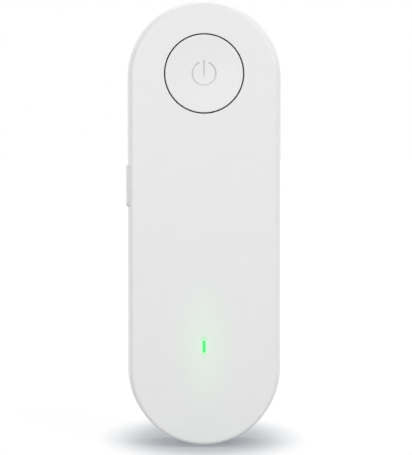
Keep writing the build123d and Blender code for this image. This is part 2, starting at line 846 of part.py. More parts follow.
# ================================================================ reset switch
# Small switch at the board's lower edge, worked with a pin through the hole in the casing.
with BuildPart() as reset_switch:
    with BuildSketch(Plane.XY.offset(reset_mouth_z)):
        with Locations((reset_x, -reset_depth)):
            Rectangle(reset_switch_width, reset_switch_height)
    extrude(amount=reset_switch_length)
    with BuildSketch(Plane.XY.offset(reset_mouth_z)):
        with Locations((reset_x, -reset_depth)):
            Circle(reset_plunger_radius + plunger_gap)
    extrude(amount=plunger_hidden + reset_travel + plunger_room, mode=Mode.SUBTRACT)
write(reset_switch, "reset_switch")

with BuildPart() as reset_plunger:
    with BuildSketch(Plane.XY.offset(reset_mouth_z - reset_plunger_proud)):
        with Locations((reset_x, -reset_depth)):
            Circle(reset_plunger_radius)
    extrude(amount=reset_plunger_proud + plunger_hidden)
write(reset_plunger, "reset_plunger")

# ================================================================ main board
# Follows the casing's outline below a straight top edge, with notches round the lower bosses.
with BuildPart() as main_board:
    with BuildSketch(level(main_board_depth)):
        with Locations((0, top_arc_z)):
            Circle(main_half_width)
        with Locations((0, bottom_arc_z)):
            Circle(main_half_width)
        with Locations((0, (top_arc_z + bottom_arc_z) / 2)):
            Rectangle(2 * main_half_width, top_arc_z - bottom_arc_z)
        with Locations((0, main_top_z)):
            Rectangle(body_width, body_width, align=(Align.CENTER, Align.MIN), mode=Mode.SUBTRACT)
        with Locations(*bosses_bottom):
            Circle(boss_radius + notch_gap, mode=Mode.SUBTRACT)
        with Locations(*main_post_places, *sink_leg_places):
            Circle(small_screw_radius + screw_gap, mode=Mode.SUBTRACT)
        with Locations((0, header_z)):
            with GridLocations(header_pin_pitch, 0, header_pin_count, 1):
                Rectangle(header_pin_side, header_pin_side, mode=Mode.SUBTRACT)
    extrude(amount=board_thickness)
write(main_board, "main_board")

# ================================================================ supply board and its screen
with BuildPart() as supply_board:
    with BuildSketch(level(supply_depth)):
        with Locations((0, supply_middle_z)):
            RectangleRounded(2 * supply_half_width, supply_height, supply_corner)
        with Locations(*supply_post_places):
            Circle(small_screw_radius + screw_gap, mode=Mode.SUBTRACT)
    extrude(amount=board_thickness)
write(supply_board, "supply_board")

# Sheet that keeps the mains side away from the main board.
with BuildPart() as insulating_sheet:
    with BuildSketch(level(supply_front)):
        with Locations((0, supply_middle_z)):
            RectangleRounded(
                2 * (supply_half_width - sheet_margin), supply_height - 2 * sheet_margin, supply_corner
            )
        with Locations(*supply_post_places):
            Circle(small_head_radius + sheet_hole_gap, mode=Mode.SUBTRACT)
        with Locations((0, header_z)):
            Rectangle(
                header_width + 2 * sheet_hole_gap, header_height + 2 * sheet_hole_gap, mode=Mode.SUBTRACT
            )
    extrude(amount=sheet_thickness)
write(insulating_sheet, "insulating_sheet")

# Header that joins the two boards; its pins pass through the main board.
with BuildPart() as board_header:
    add(block(header_width, header_height, supply_front, main_board_depth, 0, header_z))
    with BuildSketch(level(main_board_depth, z=header_z)):
        with GridLocations(header_pin_pitch, 0, header_pin_count, 1):
            Rectangle(header_pin_side, header_pin_side)
    extrude(amount=board_thickness + header_pin_proud)
write(board_header, "board_header")

# ================================================================ mains plug
# Insert: fills the opening in the rear shell and holds both blades in a tower.
tower_width = blade_spacing + blade_thickness + 2 * tower_margin
tower_height = blade_width + 2 * tower_margin
with BuildPart() as plug_insert:
    with BuildSketch(level(insert_sunk)):
        RectangleRounded(
            insert_width - 2 * insert_gap, insert_height - 2 * insert_gap, insert_corner - insert_gap
        )
    extrude(amount=rear_wall - insert_sunk)
    with BuildSketch(level(rear_wall)):
        RectangleRounded(
            insert_width + 2 * insert_flange_margin,
            insert_height + 2 * insert_flange_margin,
            insert_corner + insert_flange_margin,
        )
    extrude(amount=insert_flange_thickness)
    with BuildSketch(level(rear_wall + insert_flange_thickness)):
        Rectangle(tower_width, tower_height)
    extrude(amount=tower_length)
    with BuildSketch(level(insert_sunk)):
        with GridLocations(blade_spacing, 0, 2, 1):
            Rectangle(blade_thickness + 2 * blade_fit, blade_width + 2 * blade_fit)
    extrude(amount=tower_end - insert_sunk, mode=Mode.SUBTRACT)
write(plug_insert, "plug_insert")


def mains_blade(x):
    """A flat blade with a bevelled tip, a detent hole and a narrow tail for its clip."""
    with BuildPart() as blade:
        with BuildSketch(Plane.YZ.offset(x)):
            with Locations((-tower_end, 0)):
                Rectangle(tower_end + blade_length, blade_width, align=(Align.MIN, Align.CENTER))
            with Locations((-tail_end, 0)):
                Rectangle(tail_length, tail_width, align=(Align.MIN, Align.CENTER))
            with Locations((blade_hole_reach, 0)):
                Circle(blade_hole_radius, mode=Mode.SUBTRACT)
        extrude(amount=blade_thickness / 2, both=True)
        chamfer(blade.faces().sort_by(Axis.Y)[-1].edges(), blade_tip_chamfer)
    return blade.part


def blade_clip(x):
    """A folded spring clip on the supply board that grips a blade's tail from both sides."""
    inside = blade_thickness + 2 * blade_fit
    with BuildPart() as clip:
        with BuildSketch(level(supply_depth, x, 0)):
            Rectangle(inside + 2 * clip_thickness, clip_width)
        extrude(amount=tail_end - clip_overlap - supply_depth)
        with BuildSketch(level(supply_depth - clip_thickness, x, 0)):
            Rectangle(inside, clip_width)
        extrude(amount=tail_end - clip_overlap + clip_thickness - supply_depth, mode=Mode.SUBTRACT)
    return clip.part


with BuildPart() as line_blade:
    add(mains_blade(blade_places[0]))
write(line_blade, "line_blade")

with BuildPart() as neutral_blade:
    add(mains_blade(blade_places[1]))
write(neutral_blade, "neutral_blade")

with BuildPart() as line_clip:
    add(blade_clip(blade_places[0]))
write(line_clip, "line_clip")

with BuildPart() as neutral_clip:
    add(blade_clip(blade_places[1]))
write(neutral_clip, "neutral_clip")

# ================================================================ network jack
# Moulded housing with the socket and the notch for the plug's latch, open at the bottom.
with BuildPart() as jack_housing:
    with BuildSketch(Plane.XY.offset(jack_mouth_z)):
        with Locations((0, -jack_depth)):
            Rectangle(jack_width, jack_height)
    extrude(amount=jack_length)
    with BuildSketch(Plane.XY.offset(jack_mouth_z)):
        with Locations((0, -jack_depth)):
            Rectangle(socket_width, socket_height)
        with Locations((0, socket_height / 2 - jack_depth)):
            Rectangle(latch_width, latch_height, align=(Align.CENTER, Align.MIN))
    extrude(amount=socket_reach, mode=Mode.SUBTRACT)
write(jack_housing, "jack_housing")

# Folded shield round the housing: three sides and the end, open on the board's side.
with BuildPart() as jack_shield:
    with BuildSketch(Plane.XY.offset(jack_mouth_z)):
        with Locations((0, -main_board_depth)):
            Rectangle(
                jack_width + 2 * jack_shell, jack_height + jack_shell, align=(Align.CENTER, Align.MIN)
            )
    extrude(amount=jack_length + jack_shell)
    with BuildSketch(Plane.XY.offset(jack_mouth_z)):
        with Locations((0, -main_board_depth)):
            Rectangle(
                jack_width + 2 * jack_shield_gap,
                jack_height + jack_shield_gap,
                align=(Align.CENTER, Align.MIN),
            )
    extrude(amount=jack_length + jack_shield_gap, mode=Mode.SUBTRACT)
write(jack_shield, "jack_shield")

# Spring contacts: each wire lies on the socket's board side and rises towards the far end.
contact_floor = jack_depth + socket_height / 2 - contact_radius
with BuildPart() as jack_contacts:
    for number in range(contact_count):
        contact_x = (number - (contact_count - 1) / 2) * contact_pitch
        low = (contact_x, -contact_floor, jack_mouth_z + contact_start)
        high = (contact_x, contact_lift - contact_floor, jack_mouth_z + contact_end)
        back = (contact_x, contact_lift - contact_floor, jack_mouth_z + socket_reach)
        with BuildLine() as wire:
            Polyline(low, high, back)
        with BuildSketch(Plane(origin=low, z_dir=wire.line % 0)):
            Circle(contact_radius)
        sweep(path=wire.line, transition=Transition.RIGHT)
write(jack_contacts, "jack_contacts")

# ================================================================ cooling
# Extruded heat sink over the processor, screwed to the main board through two legs.
with BuildPart() as heat_sink:
    add(block(sink_width, sink_top_z - sink_bottom_z, sink_front - sink_base, sink_front, 0, sink_z))
    with BuildSketch(level(sink_fin_end_depth, z=sink_z)):
        with GridLocations(sink_fin_pitch, 0, sink_fin_count, 1):
            Rectangle(sink_fin_thickness, sink_top_z - sink_bottom_z)
    extrude(amount=sink_front - sink_base - sink_fin_end_depth)
    with BuildSketch(level(sink_front)):
        with Locations(*sink_leg_places):
            Circle(sink_leg_radius)
    extrude(amount=main_board_depth - sink_front)
    with BuildSketch(level(main_board_depth)):
        with Locations(*sink_leg_places):
            Circle(small_screw_radius + screw_gap)
    extrude(amount=board_thickness - small_screw_length, mode=Mode.SUBTRACT)
write(heat_sink, "heat_sink")

lid_top = main_board_depth - can_height - lid_thickness
with BuildPart() as heat_sink_pad:
    add(
        block(
            processor_can_width - 2 * pad_inset, processor_can_height - 2 * pad_inset,
            lid_top - pad_thickness, lid_top, 0, sink_z,
        )
    )
write(heat_sink_pad, "heat_sink_pad")


# ================================================================ shield cans
def can_frame(width, height, face, way, z):
    """A soldered fence round a group of chips, with a narrow inward rim."""
    with BuildPart() as frame:
        with BuildSketch(level(face, z=z)):
            Rectangle(width, height)
            Rectangle(width - 2 * can_wall, height - 2 * can_wall, mode=Mode.SUBTRACT)
        extrude(amount=way * can_height)
        with BuildSketch(level(face + way * (can_height - can_wall), z=z)):
            Rectangle(width, height)
            Rectangle(width - 2 * can_rim, height - 2 * can_rim, mode=Mode.SUBTRACT)
        extrude(amount=way * can_wall)
    return frame.part


def can_lid(width, height, face, way, z):
    """A pressed lid that snaps over the fence."""
    inside = 2 * lid_gap
    outside = 2 * (lid_gap + lid_thickness)
    with BuildPart() as lid:
        with BuildSketch(level(face + way * (can_height - lid_skirt), z=z)):
            Rectangle(width + outside, height + outside)
        extrude(amount=way * (lid_skirt + lid_thickness))
        with BuildSketch(level(face + way * (can_height - lid_skirt), z=z)):
            Rectangle(width + inside, height + inside)
        extrude(amount=way * lid_skirt, mode=Mode.SUBTRACT)
    return lid.part


with BuildPart() as processor_fence:
    add(can_frame(processor_can_width, processor_can_height, main_board_depth, -1, sink_z))
write(processor_fence, "processor_fence")

with BuildPart() as processor_lid:
    add(can_lid(processor_can_width, processor_can_height, main_board_depth, -1, sink_z))
write(processor_lid, "processor_lid")

with BuildPart() as radio_fence:
    add(can_frame(radio_can_width, radio_can_height, main_front, 1, radio_z))
write(radio_fence, "radio_fence")

with BuildPart() as radio_lid:
    add(can_lid(radio_can_width, radio_can_height, main_front, 1, radio_z))
write(radio_lid, "radio_lid")

# ================================================================ chips on the main board
with BuildPart() as processor:
    add(chip(processor_side, processor_side, processor_thickness, main_board_depth, -1, processor_x, sink_z))
write(processor, "processor")

with BuildPart() as processor_pad:
    add(
        block(
            processor_side - 2 * chip_pad_inset, processor_side - 2 * chip_pad_inset,
            main_board_depth - can_height, main_board_depth - processor_thickness, processor_x, sink_z,
        )
    )
write(processor_pad, "processor_pad")

with BuildPart() as memory_chips:
    for side in (-1, 1):
        place = sink_z + side * memory_pitch / 2
        add(chip(memory_width, memory_height, memory_thickness, main_board_depth, -1, memory_x, place))
write(memory_chips, "memory_chips")

with BuildPart() as radio_chip:
    add(chip(radio_side, radio_side, radio_thickness, main_front, 1, 0, radio_z))
write(radio_chip, "radio_chip")

with BuildPart() as amplifier_chips:
    for side in (-1, 1):
        for rise in (-1, 1):
            x = side * amplifier_pitch_x / 2
            z = radio_z + rise * amplifier_pitch_z / 2
            add(chip(amplifier_side, amplifier_side, amplifier_thickness, main_front, 1, x, z))
write(amplifier_chips, "amplifier_chips")

chip_row_z = top_z - chip_row_drop
with BuildPart() as flash_chip:
    add(chip(flash_width, flash_height, flash_thickness, main_front, 1, flash_x, chip_row_z))
    add(legs(flash_width, main_front, 1, flash_x, chip_row_z, leg_pitch, 4))
write(flash_chip, "flash_chip")

with BuildPart() as network_chip:
    add(
        chip(
            network_chip_side, network_chip_side, network_chip_thickness, main_front, 1,
            network_chip_x, chip_row_z,
        )
    )
write(network_chip, "network_chip")

with BuildPart() as clock_crystal:
    crystal_x = network_chip_x + (network_chip_side + crystal_width) / 2 + crystal_gap
    add(chip(crystal_width, crystal_height, crystal_thickness, main_front, 1, crystal_x, chip_row_z))
write(clock_crystal, "clock_crystal")

with BuildPart() as converter_coils:
    for number in range(coil_count):
        x = (number - (coil_count - 1) / 2) * coil_pitch
        add(chip(coil_side, coil_side, coil_height, main_front, 1, x, top_z - coil_drop))
write(converter_coils, "converter_coils")

with BuildPart() as ceramic_capacitors:
    for drop in ceramic_drops:
        for number in range(ceramic_count):
            x = (number - (ceramic_count - 1) / 2) * ceramic_pitch
            add(
                block(
                    ceramic_width, ceramic_length, main_front, main_front + ceramic_width, x, top_z - drop
                )
            )
write(ceramic_capacitors, "ceramic_capacitors")

magnetics_z = jack_mouth_z + jack_length / 2 + magnetics_rise
with BuildPart() as network_transformer:
    add(chip(magnetics_width, magnetics_height, magnetics_thickness, main_front, 1, 0, magnetics_z))
    add(legs(magnetics_width, main_front, 1, 0, magnetics_z, leg_pitch, 7))
write(network_transformer, "network_transformer")


# ================================================================ antennas
def antenna(side, z):
    """A stamped antenna: a slotted plate above the board on two folded feet."""
    outer = main_half_width - antenna_inset
    x = side * (outer - antenna_width / 2)
    top = main_front + antenna_height
    with BuildPart() as stamping:
        add(block(antenna_width, antenna_length, top - antenna_sheet, top, x, z))
        with BuildSketch(level(main_front)):
            for rise in (-1, 1):
                foot_z = z + rise * (antenna_length - antenna_foot) / 2
                with Locations((side * (outer - antenna_sheet / 2), foot_z)):
                    Rectangle(antenna_sheet, antenna_foot)
        extrude(amount=antenna_height)
        with BuildSketch(level(top, x, z + antenna_slot_inset)):
            Rectangle(antenna_slot_width, antenna_length - 2 * antenna_slot_inset)
        extrude(amount=-antenna_sheet, mode=Mode.SUBTRACT)
    return stamping.part


with BuildPart() as upper_antennas:
    add(antenna(-1, top_z - antenna_upper_drop))
    add(antenna(1, top_z - antenna_upper_drop))
write(upper_antennas, "upper_antennas")

with BuildPart() as lower_antennas:
    add(antenna(-1, sink_z + antenna_lower_rise))
    add(antenna(1, sink_z + antenna_lower_rise))
write(lower_antennas, "lower_antennas")

# ================================================================ parts of the supply
# Transformer: a ferrite core whose middle leg passes through the winding, on two moulded rails.
core_rear = supply_depth - core_standoff - core_thickness
core_z = -core_drop_below
window_height = core_height - 2 * core_yoke
with BuildPart() as transformer_core:
    add(block(core_width, core_height, core_rear, core_rear + core_thickness, core_x, core_z))
    window_width = (core_width - core_leg) / 2 - core_side
    with BuildSketch(level(core_rear)):
        for side in (-1, 1):
            with Locations((core_x + side * (core_leg + window_width) / 2, core_z)):
                Rectangle(window_width, window_height)
    extrude(amount=core_thickness, mode=Mode.SUBTRACT)
write(transformer_core, "transformer_core")

with BuildPart() as transformer_winding:
    with BuildSketch(Plane.XY.offset(core_z - window_height / 2 + winding_gap)):
        with Locations((core_x, -core_rear - core_thickness / 2)):
            RectangleRounded(core_leg + 2 * winding_thickness, winding_depth, winding_corner)
            Rectangle(core_leg + 2 * winding_gap, core_thickness + 2 * winding_gap, mode=Mode.SUBTRACT)
    extrude(amount=window_height - 2 * winding_gap)
write(transformer_winding, "transformer_winding")

with BuildPart() as transformer_rails:
    for side in (-1, 1):
        rail_z = core_z + side * (core_height - bobbin_rail) / 2
        add(block(core_width, bobbin_rail, supply_depth - core_standoff, supply_depth, core_x, rail_z))
write(transformer_rails, "transformer_rails")


def lying_capacitor(x):
    """A can capacitor that lies on the supply board, with its leads bent down to it."""
    axis_depth = supply_depth - bulk_radius
    low_z = -bulk_below - bulk_length / 2
    with BuildPart() as can:
        with BuildSketch(Plane.XY.offset(low_z)):
            with Locations((x, -axis_depth)):
                Circle(bulk_radius)
        extrude(amount=bulk_length)
        fillet(can.edges().filter_by(GeomType.CIRCLE), bulk_groove)
        with BuildSketch(Plane.XY.offset(low_z + bulk_length - 2 * groove_width)):
            with Locations((x, -axis_depth)):
                Circle(bulk_radius)
                Circle(bulk_radius - bulk_groove, mode=Mode.SUBTRACT)
        extrude(amount=groove_width, mode=Mode.SUBTRACT)
        with BuildSketch(level(axis_depth, x, low_z + bulk_length + lead_reach / 2)):
            with GridLocations(bulk_radius, 0, 2, 1):
                Rectangle(lead_side, lead_reach)
        extrude(amount=lead_side)
        with BuildSketch(level(axis_depth, x, low_z + bulk_length + lead_reach - lead_side / 2)):
            with GridLocations(bulk_radius, 0, 2, 1):
                Rectangle(lead_side, lead_side)
        extrude(amount=bulk_radius)
    return can.part


with BuildPart() as bulk_capacitors:
    add(lying_capacitor(bulk_x))
    add(lying_capacitor(bulk_x + bulk_pitch))
write(bulk_capacitors, "bulk_capacitors")

with BuildPart() as output_capacitors:
    with BuildSketch(level(supply_depth, z=-output_below)):
        with GridLocations(output_pitch, 0, 2, 1):
            Circle(output_radius)
    extrude(amount=-output_height)
    fillet(output_capacitors.faces().group_by(Axis.Y)[-1].edges(), bulk_groove)
    with BuildSketch(level(supply_depth - groove_width, z=-output_below)):
        with GridLocations(output_pitch, 0, 2, 1):
            Circle(output_radius)
            Circle(output_radius - bulk_groove, mode=Mode.SUBTRACT)
    extrude(amount=-groove_width, mode=Mode.SUBTRACT)
write(output_capacitors, "output_capacitors")

with BuildPart() as filter_capacitor:
    add(chip(filter_width, filter_height, filter_depth, supply_depth, -1, 0, filter_above))
write(filter_capacitor, "filter_capacitor")

# Drum choke: a wound neck between two flanges.
choke_z = fuse_above + fuse_height / 2 + choke_gap + choke_radius
with BuildPart() as line_choke:
    with BuildSketch(level(supply_depth, choke_x, choke_z)):
        Circle(choke_radius)
    extrude(amount=-choke_height)
    with BuildSketch(level(supply_depth - choke_flange, choke_x, choke_z)):
        Circle(choke_radius)
        Circle(choke_neck_radius, mode=Mode.SUBTRACT)
    extrude(amount=2 * choke_flange - choke_height, mode=Mode.SUBTRACT)
write(line_choke, "line_choke")

# Varistor: a coated disc that stands on edge on its two leads.
with BuildPart() as varistor:
    varistor_depth = supply_depth - varistor_standoff - varistor_radius
    with BuildSketch(Plane.XY.offset(varistor_above - varistor_thickness / 2)):
        with Locations((varistor_x, -varistor_depth)):
            Circle(varistor_radius)
    extrude(amount=varistor_thickness)
    fillet(varistor.edges().filter_by(GeomType.CIRCLE), varistor_thickness / 4)
    with BuildSketch(level(supply_depth, varistor_x, varistor_above)):
        with GridLocations(varistor_radius, 0, 2, 1):
            Rectangle(lead_side, lead_side)
    extrude(amount=-varistor_standoff - varistor_radius / 2)
write(varistor, "varistor")

with BuildPart() as fuse:
    add(chip(fuse_width, fuse_height, fuse_depth, supply_depth, -1, fuse_x, fuse_above))
write(fuse, "fuse")

with BuildPart() as rectifier:
    add(
        chip(
            rectifier_width, rectifier_height, rectifier_thickness, supply_depth, -1,
            rectifier_x, -rectifier_below,
        )
    )
write(rectifier, "rectifier")

with BuildPart() as supply_controller:
    add(
        chip(
            controller_width, controller_height, controller_thickness, supply_depth, -1,
            controller_x, -controller_below,
        )
    )
    add(legs(controller_width, supply_depth, -1, controller_x, -controller_below, leg_pitch, 4))
write(supply_controller, "supply_controller")
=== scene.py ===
import math

import bmesh
import bpy
from mathutils import Matrix, Vector


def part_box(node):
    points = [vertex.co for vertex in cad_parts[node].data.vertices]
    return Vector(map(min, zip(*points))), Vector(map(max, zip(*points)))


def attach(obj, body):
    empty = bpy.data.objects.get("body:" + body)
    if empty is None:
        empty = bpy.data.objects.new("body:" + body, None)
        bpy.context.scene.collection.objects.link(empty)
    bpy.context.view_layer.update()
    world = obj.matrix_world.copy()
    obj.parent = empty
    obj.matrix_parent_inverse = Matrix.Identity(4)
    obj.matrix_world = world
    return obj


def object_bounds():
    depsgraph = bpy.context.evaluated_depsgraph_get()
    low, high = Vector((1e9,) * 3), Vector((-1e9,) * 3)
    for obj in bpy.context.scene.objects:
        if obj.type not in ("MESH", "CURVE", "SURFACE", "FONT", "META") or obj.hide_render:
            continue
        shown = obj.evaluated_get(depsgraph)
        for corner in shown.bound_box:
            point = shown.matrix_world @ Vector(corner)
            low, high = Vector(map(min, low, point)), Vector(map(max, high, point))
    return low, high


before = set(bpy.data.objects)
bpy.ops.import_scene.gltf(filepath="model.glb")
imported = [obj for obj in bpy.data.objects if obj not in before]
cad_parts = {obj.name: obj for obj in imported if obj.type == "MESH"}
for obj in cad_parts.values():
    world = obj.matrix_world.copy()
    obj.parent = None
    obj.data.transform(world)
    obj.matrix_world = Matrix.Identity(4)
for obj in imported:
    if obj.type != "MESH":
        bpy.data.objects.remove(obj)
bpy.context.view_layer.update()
MM = 0.001

# ---------------------------------------------------------------- casing
# Two injection-moulded shells in white ABS, the front one drafted and finely spark-eroded, the
# rear one a hair smaller at the seam. They close on each other with a tongue and four screws.


class Wire:
    """One output of a shader node. Arithmetic on it adds the Math nodes that work it out."""

    def __init__(self, tree, socket=None):
        self.tree = tree
        self.socket = socket

    def put(self, kind, inputs=(), output=0, **settings):
        """Adds a node, sets it, fills its inputs with values or wires, and gives one output."""
        node = self.tree.nodes.new("ShaderNode" + kind)
        for name, value in settings.items():
            setattr(node, name, value)
        for name, value in dict(inputs).items():
            if isinstance(value, Wire):
                self.tree.links.new(value.socket, node.inputs[name])
            else:
                node.inputs[name].default_value = value
        return Wire(self.tree, node.outputs[output] if node.outputs else None)

    def work(self, operation, *others):
        """One Math node on this wire and whatever else it takes."""
        return self.put("Math", enumerate((self, *others)), operation=operation)

    def __add__(self, other):
        return self.work("ADD", other)

    def __sub__(self, other):
        return self.work("SUBTRACT", other)

    def __rsub__(self, other):
        return self.put("Math", {0: other, 1: self}, operation="SUBTRACT")

    def __mul__(self, other):
        return self.work("MULTIPLY", other)

    def __truediv__(self, other):
        return self.work("DIVIDE", other)

    def __pow__(self, other):
        return self.work("POWER", other)

    __radd__ = __add__
    __rmul__ = __mul__

    def within(self, low, high, ease="LINEAR"):
        """0 at low and 1 at high, and held beyond."""
        return self.put("MapRange", {0: self, 1: low, 2: high}, interpolation_type=ease)

    def tint(self, first, second):
        """A colour that goes from the first to the second as this wire goes from 0 to 1."""
        factor_and_colours = {0: self, 6: first, 7: second}
        return self.put("Mix", factor_and_colours, output=2, data_type="RGBA")

    def grain(self, size, detail=2.0, where=None):
        """Cloudy noise with features of the given size, in metres."""
        place = where or self.place()
        return self.put("TexNoise", {"Vector": place, "Scale": 1.0 / size, "Detail": detail})

    def place(self):
        """The point's place in the part's own frame."""
        return self.put("TexCoord", output="Object")

    def axis(self, number):
        """The point's X, Y or Z, in metres."""
        return self.put("SeparateXYZ", {0: self.place()}, output=number)

    def stretched(self, *factors):
        """The point's place with each axis scaled, to draw a noise out into streaks."""
        return self.put("VectorMath", {0: self.place(), 1: factors}, operation="MULTIPLY")


def rgba(colour):
    return (*colour, 1.0)


def shade(colour, factor):
    return rgba([min(1.0, channel * factor) for channel in colour])


class Finish:
    """A material with one Principled shader: plain values on its sockets, wires where it varies."""

    def __init__(self, name, **values):
        self.material = bpy.data.materials.new(name)
        self.material.use_nodes = True
        tree = self.material.node_tree
        self.shader = tree.nodes["Principled BSDF"]
        self.wire = Wire(tree)
        for socket, value in values.items():
            self.shader.inputs[socket.replace("_", " ")].default_value = value

    def feed(self, socket, wire):
        self.wire.tree.links.new(wire.socket, self.shader.inputs[socket])

    def bump(self, height, distance):
        """Raises the surface by a wire's height times a distance in metres."""
        self.feed("Normal", height.put("Bump", {"Height": height, "Distance": distance, "Strength": 1.0}))


def dress(finish, *nodes):
    """Gives every slot of the named CAD nodes one finish."""
    for name in nodes:
        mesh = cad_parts[name].data
        mesh.materials.clear()
        mesh.materials.append(finish.material)


def moulded(name, colour, roughness, texture=0.35 * MM, relief=0.010 * MM):
    """Moulded plastic: faint mottling in colour and gloss, and the tool's fine even texture."""
    cloud_size = 9 * MM
    darkest = 0.985
    palest = 1.012
    gloss_patch = 2.5 * MM
    gloss_range = 0.06
    made = Finish(name, IOR=1.47)
    clouds = made.wire.grain(cloud_size, 3.0)
    made.mottled = clouds.tint(shade(colour, darkest), shade(colour, palest))
    made.feed("Base Color", made.mottled)
    patches = made.wire.grain(gloss_patch, 4.0)
    made.feed("Roughness", roughness - gloss_range / 2 + gloss_range * patches)
    made.bump(made.wire.grain(texture), relief)
    return made


def middle_of(node):
    low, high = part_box(node)
    return (low + high) / 2


casing_white = (0.800, 0.803, 0.800)
rear = moulded("rear_shell_white", casing_white, 0.44)
dress(rear, "rear_shell")

# The front wall is thin round the status light, and the lamp's light through it is painted on. A narrow
# halo and a painted green tint of the colour follow the slot, the tint also a little way above it, and a
# faint glow spreads wide round it; halo and glow are painted light that the shell itself emits.
front = moulded("front_shell_white", casing_white, 0.40)
slot_z = middle_of("light_pipe").z
slot_half = 0.5 * MM
slot_reach = 1.5 * MM  # from the slot's middle to where its round ends start
halo_reach = 0.5 * MM
halo_strength = 0.20
tint_reach = 1.3 * MM
tint_rise = 0.3 * MM
tint_squeeze = 0.5
painted_light_green = (0.54, 0.80, 0.58)
glow_reach = 7.0 * MM
glow_length = 15.0 * MM
glow_strength = 0.085
glow_green = (0.0, 1.0, 0.06)
inner_depth = 27.0 * MM  # nothing glows behind this depth, where the inside of the wall is
outer_depth = 29.0 * MM
wire = front.wire
beside = wire.axis(0)
above = wire.axis(2) - slot_z


def round_slot(reach, rise, squeeze):
    """1 along the slot and less with the distance from it; a squeeze under 1 draws it out upright."""
    past = ((above - rise).work("ABSOLUTE") - reach).work("MAXIMUM", 0.0) * squeeze
    near = ((beside * beside + past * past) ** 0.5 - slot_half).work("MAXIMUM", 0.0)
    return (-1.0 * (near / halo_reach) ** 2.0).work("EXPONENT")


halo = round_slot(slot_reach, 0.0, 1.0)
painted_light_tint = round_slot(tint_reach, tint_rise, tint_squeeze)
wide = (-1.0 * ((beside / glow_reach) ** 2.0 + (above / glow_length) ** 2.0)).work("EXPONENT")
outside = (wire.axis(1) * -1.0).within(inner_depth, outer_depth)
# Painted light: the shell's colour turns green near the slot, where the lamp's light would come through.
front.feed("Base Color", (painted_light_tint * outside).tint(front.mottled, rgba(painted_light_green)))
# Painted light: the shell emits the halo and the wide glow round the slot, though it is no lamp.
glow = (halo * halo_strength + wide * glow_strength) * outside
front.feed("Emission Color", glow.tint(rgba((0, 0, 0)), rgba(glow_green)))
front.shader.inputs["Emission Strength"].default_value = 1.0
dress(front, "front_shell")

# ---------------------------------------------------------------- rating label
# A die-cut label of satin polyester film with round corners, stuck into a shallow recess of the
# rear shell. It is left blank.
film = moulded("label_film", (0.70, 0.71, 0.72), 0.30, texture=1.6 * MM, relief=0.004 * MM)
dress(film, "rating_label")

# ---------------------------------------------------------------- mains plug
# The insert is a separate moulding that carries both nickel-plated brass blades; folded bronze
# clips on the supply board grip their tails.
insert = moulded("insert_white", (0.74, 0.75, 0.755), 0.46)
dress(insert, "plug_insert")


def metal(name, colour, roughness, streaks=(1, 1, 1), streak_size=0.4 * MM):
    """Bare or plated metal: drawn or rolled streaks, and a soft bloom of handling."""
    bloom_size = 5 * MM
    darkest = 0.90
    brightest = 1.05
    relief = 0.002 * MM
    made = Finish(name, Metallic=1.0)
    wire = made.wire
    lines = wire.grain(streak_size, 3.0, where=wire.stretched(*streaks))
    bloom = wire.grain(bloom_size, 3.0)
    worn = 0.6 * lines + 0.4 * bloom
    made.feed("Base Color", worn.tint(shade(colour, darkest), shade(colour, brightest)))
    made.feed("Roughness", roughness - 0.08 + 0.10 * lines + 0.08 * bloom)
    made.bump(lines, relief)
    return made


nickel = metal("blade_nickel", (0.66, 0.64, 0.59), 0.26, streaks=(1.0, 0.05, 1.0))
dress(nickel, "line_blade", "neutral_blade")
bronze = metal("clip_bronze", (0.66, 0.46, 0.26), 0.30, streaks=(1.0, 0.1, 1.0))
dress(bronze, "line_clip", "neutral_clip")

# ---------------------------------------------------------------- supply board
# Paper-phenolic board with its mains parts on the wall side, screened from the main board by a
# sheet of polyester film.
laminate_dark = (0.42, 0.28, 0.12)
laminate_pale = (0.52, 0.36, 0.17)
laminate = Finish("supply_board_tan", Roughness=0.55)
wire = laminate.wire
fibres = wire.grain(0.5 * MM, 4.0, where=wire.stretched(1.0, 1.0, 0.2))
laminate.feed("Base Color", fibres.tint(rgba(laminate_dark), rgba(laminate_pale)))
laminate.bump(fibres, 0.004 * MM)
dress(laminate, "supply_board")
sheet_film = moulded("insulating_film", (0.72, 0.71, 0.66), 0.28, texture=3 * MM)
dress(sheet_film, "insulating_sheet")

# The transformer is a ferrite core with its windings under yellow tape, on two black pin rails.
# The small coils on the main board are of the same ferrite.
black_plastic = (0.022, 0.022, 0.024)
black = moulded("black_moulding", black_plastic, 0.50, texture=0.25 * MM)
dress(black, "transformer_rails")
ferrite = moulded("ferrite_grey", (0.045, 0.044, 0.046), 0.58, texture=0.12 * MM, relief=0.02 * MM)
dress(ferrite, "transformer_core", "converter_coils")
tape = moulded("winding_tape", (0.72, 0.46, 0.05), 0.24, texture=2 * MM)
dress(tape, "transformer_winding")

# The electrolytic capacitors wear blue-black sleeves with pale stripes. The two large ones lie
# flat, and their bare leads stand out above the cans.
sleeve_blue = (0.018, 0.022, 0.055)
stripe_grey = (0.45, 0.46, 0.48)
stripe_pitch = 8.6 * MM
stripe_start = 0.86  # in parts of the pitch
lead_tin = (0.62, 0.62, 0.60)
lead_level = -17.95 * MM
sleeve = Finish("capacitor_sleeve", Roughness=0.28)
wire = sleeve.wire
stripe = (wire.axis(0) / stripe_pitch).work("FRACT").work("GREATER_THAN", stripe_start)
printed = stripe.tint(rgba(sleeve_blue), rgba(stripe_grey))
lead = wire.axis(2).work("GREATER_THAN", lead_level)
sleeve.feed("Base Color", lead.tint(printed, rgba(lead_tin)))
sleeve.feed("Metallic", lead)
sleeve.bump(wire.grain(1.5 * MM), 0.01 * MM)
dress(sleeve, "bulk_capacitors", "output_capacitors")

yellow = moulded("filter_yellow", (0.74, 0.50, 0.04), 0.30, texture=1.2 * MM)
dress(yellow, "filter_capacitor")
dress(ferrite, "line_choke")

